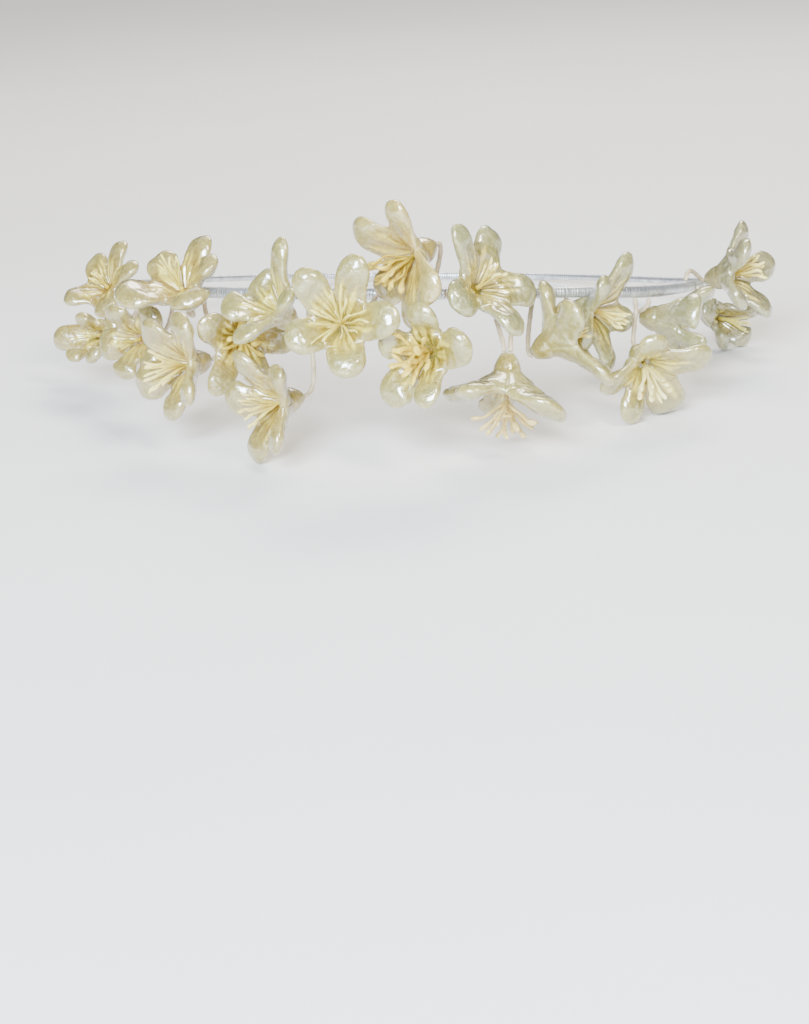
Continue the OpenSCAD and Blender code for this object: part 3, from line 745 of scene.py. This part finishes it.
# blossom, distance to the right of the bell's middle, angle on the band where it is bound,
# side of the band it comes from (0 is outside, -90 is below), how far it keeps its first and
# its last direction
stems = [
    [1, 0, -82, -20, 3, 1.5],
    [2, 0, -68, -60, 4, 4],
    [3, 0, -50, -80, 4, 4],
    [4, 0, -44, -80, 6, 6],
    [5, 0, -54, -80, 5, 5],
    [6, 0, -36, -80, 4, 4],
    [7, 0, -24.5, -60, 2.5, 3],
    [8, 0, -20.5, -80, 6, 9],
    [9, 0, -8, -20, 5, 4],
    [10, 0, 2, 60, 4, 4],
    [11, 0, 4, 0, 3, 2],
    [12, 0, 0, -80, 4, 4],
    [13, 0.75, 15.5, -80, 3, 6],
    [14, 0, 20, -110, 2, 7],
    [15, 0, 27, -120, 2, 3],
    [16, 0, 42, -60, 3, 4],
    [17, 0, 46, -60, 3.6, 3.4],
    [18, 0, 62, 85, 1.3, 6],
    [19, 0, 66, -20, 3, 4],
    [13, -0.75, 12.5, -80, 3, 6],
]


def stem_wrap():
    """White thread under wax, faintly pink where the wire shows, with the lay of the thread
    round it, painted shade darkening the furrows between its turns, and a soft shine."""
    material, tree, shader = new_finish("stem_wrap")
    body = ramp(tree, mottle(tree, 500, 4.0), (0.35, colour(186, 166, 132)),
                (0.65, colour(216, 200, 166)))
    lay = tree.nodes.new("ShaderNodeMath")
    lay.operation = "SINE"
    tree.links.new(spread(tree, noted(tree, "lay"), 0, 1, 0, 6.2832), lay.inputs[0])
    shadow = spread(tree, lay.outputs[0], -1, 0.2, 0.5, 0)
    tree.links.new(mixed(tree, shadow, body, colour(132, 116, 96)), shader.inputs["Base Color"])
    shader.inputs["Subsurface Weight"].default_value = 0.25
    shader.inputs["Subsurface Scale"].default_value = 0.0008
    tree.links.new(spread(tree, mottle(tree, 800), 0.3, 0.7, 0.3, 0.55), shader.inputs["Roughness"])
    tree.links.new(raised(tree, lay.outputs[0], 0.00006, 0.8), shader.inputs["Normal"])
    return material


def stem_tube(stem, seed):
    """A tube along a cubic Bezier curve from the bell to the skin of the band; its radius
    ripples a little and its ends are rounded. The lay of the thread is a value that grows by
    one with each turn of it, along the stem and round it."""
    number, beside, bound, side, leave, arrive = stem
    throat, facing, right, _ = blossom_frame(blossoms[number - 1])
    start = throat - (bell_long + fit_gap) * facing + beside * right

    def band_skin(above):
        height, radius = [np.interp(bound, band_stations[:, 0], band_stations[:, column])
                          for column in (1, 2)]
        centre = on_oval(bound, 0) + np.array([0, 0, height])
        return centre + (radius + above) * (cosd(side) * outward(bound)
                                            + np.array([0, 0, sind(side)]))

    end = band_skin(fit_gap)
    t = np.concatenate([[0, 0, 0.012, 0.035], np.linspace(0.07, 0.93, 28), [0.965, 0.988, 1, 1]])
    t = t[:, None]
    p = [start, start - leave * facing, band_skin(fit_gap + arrive), end]
    path = (1 - t) ** 3 * p[0] + 3 * t * (1 - t) ** 2 * p[1] \
        + 3 * t ** 2 * (1 - t) * p[2] + t ** 3 * p[3]
    ways = (1 - t) ** 2 * (p[1] - p[0]) + 2 * t * (1 - t) * (p[2] - p[1]) + t ** 2 * (p[3] - p[2])
    ways /= np.linalg.norm(ways, axis=1, keepdims=True)
    plumb = np.cross(start - end, outward(bound))
    plumb /= np.linalg.norm(plumb)
    run = np.concatenate([[0], np.cumsum(np.linalg.norm(np.diff(path, axis=0), axis=1))])
    girth = stem_thick / 2 * (0.9 + 0.06 * np.sin(run * 2.1 + seed) + 0.04 * np.sin(run * 5.3))
    girth[[0, -1]], girth[[1, -2]], girth[[2, -3]] = 0, girth[5] * 0.55, girth[5] * 0.85
    grid = carried_ring(path, ways, plumb, girth, 1.0, 12)
    lay = run[:, None] * thread_lay + np.linspace(0, 1, 13)[None, :]
    return grid, lay


wrap = stem_wrap()
for number, stem in enumerate(stems, 1):
    grid, lay = stem_tube(stem, number)
    wire = closed_mesh(f"wire_stem_{number:02d}", [grid], wrap, {"lay": [lay]})
    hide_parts(f"stem_{number:02d}")

# Table, light and camera
# A plain pale table, a cool soft box in front that puts a pearly light on every petal, a small
# warm one high on the right, a warm one behind for the rims and one over the far end of the
# table; the camera looks at the crown as the photograph does, so it leans as the crown lies.
table_half, table_level = 6.0, -0.0001
camera_place = np.array([-4.37, -603.2, 17.8])
camera_drop, lens, sensor = 7.8, 74.8828125, 36.0


def pale_table():
    """Pale matt board with the faintest cloudiness."""
    material, tree, shader = new_finish("pale_table")
    board = ramp(tree, mottle(tree, 6), (0.3, colour(240, 238, 234)), (0.7, colour(245, 243, 240)))
    tree.links.new(board, shader.inputs["Base Color"])
    shader.inputs["Roughness"].default_value = 0.75
    return material


corners = [(x, y, table_level) for x, y in ((-table_half, -table_half), (table_half, -table_half),
                                             (table_half, table_half), (-table_half, table_half))]
table_mesh = bpy.data.meshes.new("table")
table_mesh.from_pydata(corners, [], [(0, 1, 2, 3)])
table_mesh.materials.append(pale_table())
table = bpy.data.objects.new("table", table_mesh)
bpy.context.scene.collection.objects.link(table)


def soft_light(name, place, aim, wide, high, power, shade):
    """A rectangular soft box at a place, turned towards a point."""
    light = bpy.data.lights.new(name, "AREA")
    light.shape, light.size, light.size_y = "RECTANGLE", wide, high
    light.energy, light.color = power, colour(*shade)[:3]
    lamp = bpy.data.objects.new(name, light)
    lamp.location = place
    lamp.rotation_mode = "QUATERNION"
    lamp.rotation_quaternion = (Vector(aim) - Vector(place)).to_track_quat("-Z", "Y")
    bpy.context.scene.collection.objects.link(lamp)


soft_light("window", (-0.25, -1.05, 0.55), (0, -0.05, 0.02), 0.5, 0.4, 50, (222, 238, 255))
soft_light("high_right", (0.5, -0.75, 0.8), (0, -0.05, 0.02), 0.25, 0.35, 13, (255, 250, 240))
soft_light("behind", (0.15, 0.6, 0.75), (0, -0.02, 0.02), 0.5, 0.3, 9, (255, 246, 230))
soft_light("far_table", (0, 2.6, 2.0), (0, 3.4, 0), 3.0, 1.5, 80, (255, 252, 248))
world = bpy.data.worlds.new("studio")
world.use_nodes = True
world.node_tree.nodes["Background"].inputs["Color"].default_value = colour(226, 226, 226)
world.node_tree.nodes["Background"].inputs["Strength"].default_value = 0.22
bpy.context.scene.world = world

camera = bpy.data.cameras.new("camera")
camera.lens, camera.sensor_width = lens, sensor
camera.clip_start, camera.clip_end = 0.01, 50
viewer = bpy.data.objects.new("camera", camera)
bpy.context.scene.collection.objects.link(viewer)
eye = lying(camera_place)
# the camera's right, up and back, turned as the crown lies
axes = [lying(way) - lying(np.zeros(3)) for way in
        (np.array([1000, 0, 0]), 1000 * np.array([0, sind(camera_drop), cosd(camera_drop)]),
         -1000 * np.array([0, cosd(camera_drop), -sind(camera_drop)]))]
rows = [[*row, place] for row, place in zip(np.stack(axes, 1), eye)]
viewer.matrix_world = Matrix(rows + [[0, 0, 0, 1]])
bpy.context.scene.camera = viewer
